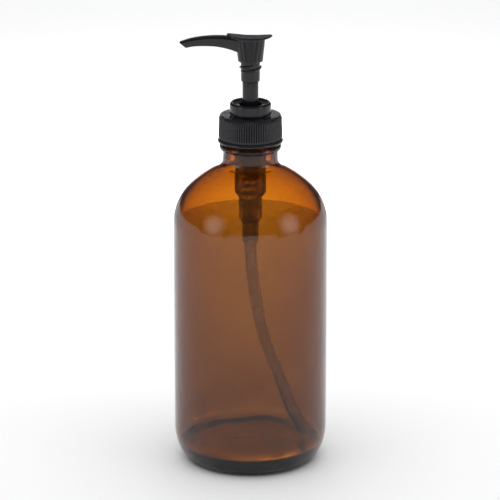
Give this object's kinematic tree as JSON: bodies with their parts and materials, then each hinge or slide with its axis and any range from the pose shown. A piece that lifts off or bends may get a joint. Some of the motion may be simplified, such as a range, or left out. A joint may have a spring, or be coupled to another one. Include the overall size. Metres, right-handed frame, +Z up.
{
  "type": "soap pump dispenser",
  "caption": "Round-shouldered amber glass bottle with a black screw-on lotion pump: press the saddle head and liquid leaves the arched spout.",
  "frame": {"origin": "centre of the flat ring the bottle stands on", "axes": "+Z up along the bottle's axis; the spout points along -X"},
  "size_m": [0.075, 0.075, 0.2139],
  "materials": {
    "amber_glass": "smooth amber glass, clear",
    "black_gloss": "moulded black polypropylene, semi-gloss",
    "black_matt": "moulded black polypropylene, fine matt ribs",
    "natural_plastic": "natural translucent polypropylene",
    "tube_plastic": "natural translucent polyethylene tube",
    "liner": "soft white polyethylene",
    "steel": "bright stainless wire and ball"
  },
  "bodies": {
    "bottle": {"bottle": "amber_glass"},
    "pump": {"gasket": "liner", "chaplet": "black_gloss", "housing": "natural_plastic", "dip_tube": "tube_plastic", "spring": "steel"},
    "cap": {"closure": "black_matt"},
    "ball": {"inlet_ball": "steel"},
    "plunger": {"plug": "natural_plastic"},
    "seal": {"piston": "liner"},
    "head": {"stem": "black_gloss", "actuator": "black_gloss"}
  },
  "joints": [
    {"name": "pump_lift", "type": "slide", "parent": "bottle", "child": "pump", "axis": [0, 0, 1], "range_m": [0, 0.00423]},
    {"name": "closure_turn", "type": "hinge", "parent": "pump", "child": "cap", "pos_m": [0, 0, 0.1675], "axis": [0, 0, 1], "range_deg": [0, 360]},
    {"name": "ball_lift", "type": "slide", "parent": "pump", "child": "ball", "axis": [0, 0, 1], "range_m": [0, 0.0015]},
    {"name": "head_press", "type": "slide", "parent": "pump", "child": "plunger", "axis": [0, 0, 1], "range_m": [-0.014, 0], "stiffness_N_per_m": 400, "springref_m": 0.0125, "deforming": ["spring"]},
    {"name": "piston_float", "type": "slide", "parent": "plunger", "child": "seal", "axis": [0, 0, 1], "range_m": [0, 0.0012]},
    {"name": "head_turn", "type": "hinge", "parent": "plunger", "child": "head", "pos_m": [0, 0, 0.1854], "axis": [0, 0, 1], "continuous": true}
  ],
  "couplings": [
    {"joint": "pump_lift", "follows": "closure_turn", "m_per_rad": 0.00067376}
  ]
}
